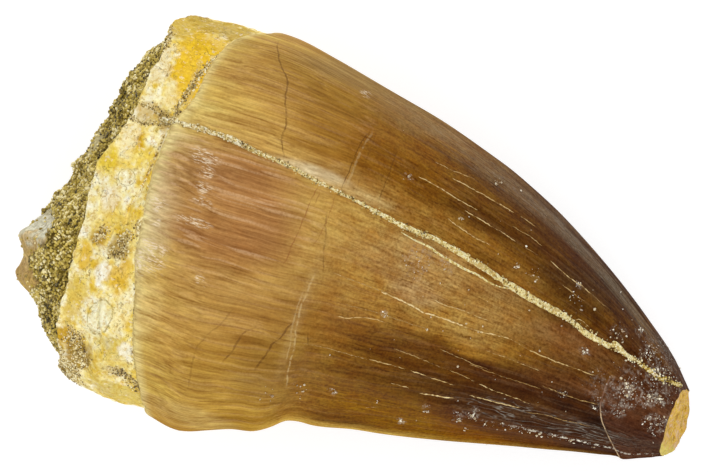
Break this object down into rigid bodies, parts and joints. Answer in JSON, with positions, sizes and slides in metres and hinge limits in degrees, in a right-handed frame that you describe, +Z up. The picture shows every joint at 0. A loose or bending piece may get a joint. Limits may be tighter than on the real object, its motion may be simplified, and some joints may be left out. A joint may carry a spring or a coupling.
{
  "type": "fossil mosasaur tooth",
  "caption": "Conical fossil mosasaur tooth with its root stump, lying on its side: brown enamel with a sand-filled crack, and sandy rock in the broken, hollow end of the root",
  "frame": {"origin": "the middle of the small flat spot under the tooth's belly that it lies on", "axes": "+X along the tooth towards its point, +Y to the convex front edge, +Z up, with the ground at z = 0"},
  "size_m": [0.0643, 0.0377, 0.0279],
  "materials": {
    "fossil_tooth": "semi-gloss mineralised enamel, matt at the root",
    "sandstone_matrix": "matt, coarse and sandy"
  },
  "bodies": {
    "root": {"tooth": "fossil_tooth", "matrix": "sandstone_matrix"}
  },
  "joints": []
}
